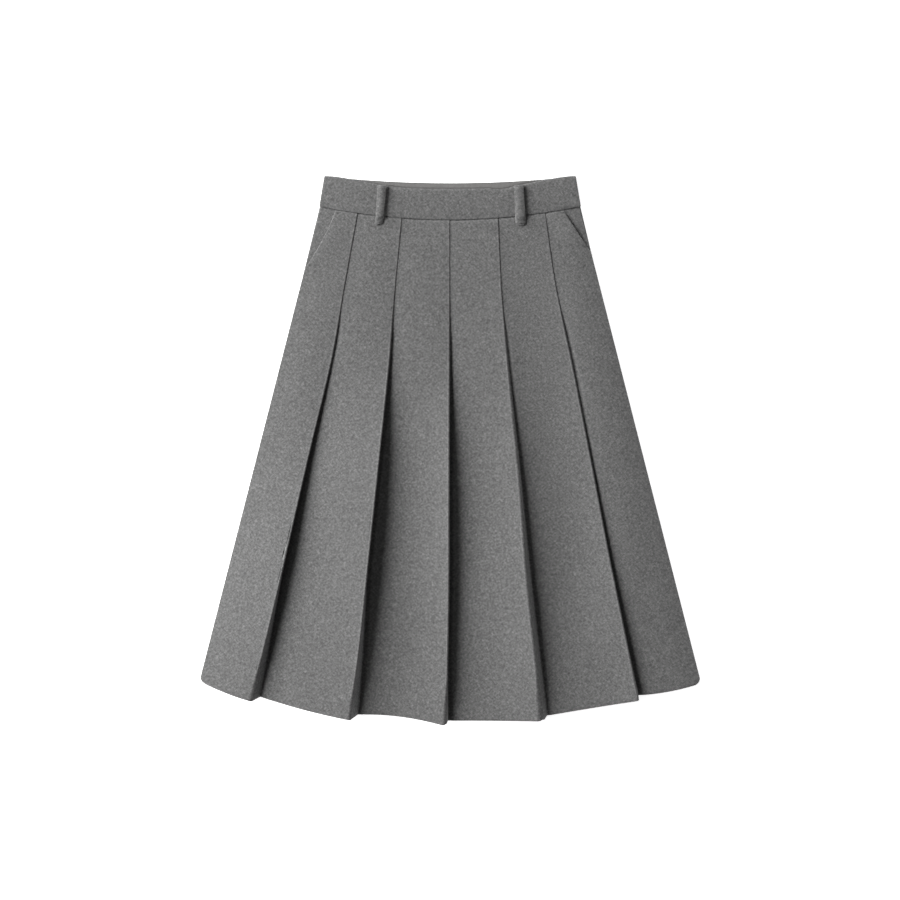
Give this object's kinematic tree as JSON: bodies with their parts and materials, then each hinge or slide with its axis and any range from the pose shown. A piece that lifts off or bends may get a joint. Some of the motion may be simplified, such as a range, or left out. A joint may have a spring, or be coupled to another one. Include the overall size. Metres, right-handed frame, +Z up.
{
  "type": "pleated skirt",
  "caption": "Knee-length pleated skirt of grey wool flannel, laid flat on its back, with a waistband, belt loops and slant side pockets.",
  "frame": {"origin": "on the surface that the skirt lies on, under the middle of its bounding box", "axes": "+X towards the right as seen from above with the waist at the top, +Y from the hem to the waist, +Z up from the surface, through the front of the skirt"},
  "size_m": [0.662, 0.7227, 0.028],
  "materials": {
    "wool": "brushed wool flannel, grey melange",
    "facing": "smooth matt"
  },
  "bodies": {
    "root": {"front_gore_1": "wool", "front_gore_2": "wool", "front_gore_3": "wool", "front_gore_4": "wool", "front_gore_5": "wool", "front_gore_6": "wool", "back_gore_1": "wool", "back_gore_2": "wool", "back_gore_3": "wool", "back_gore_4": "wool", "back_gore_5": "wool", "back_gore_6": "wool", "waistband_front": "wool", "waistband_back": "wool", "waistband_back_facing": "facing", "pocket_facing_left": "wool", "pocket_facing_right": "wool", "belt_loop_left": "wool", "belt_loop_right": "wool"}
  },
  "joints": []
}
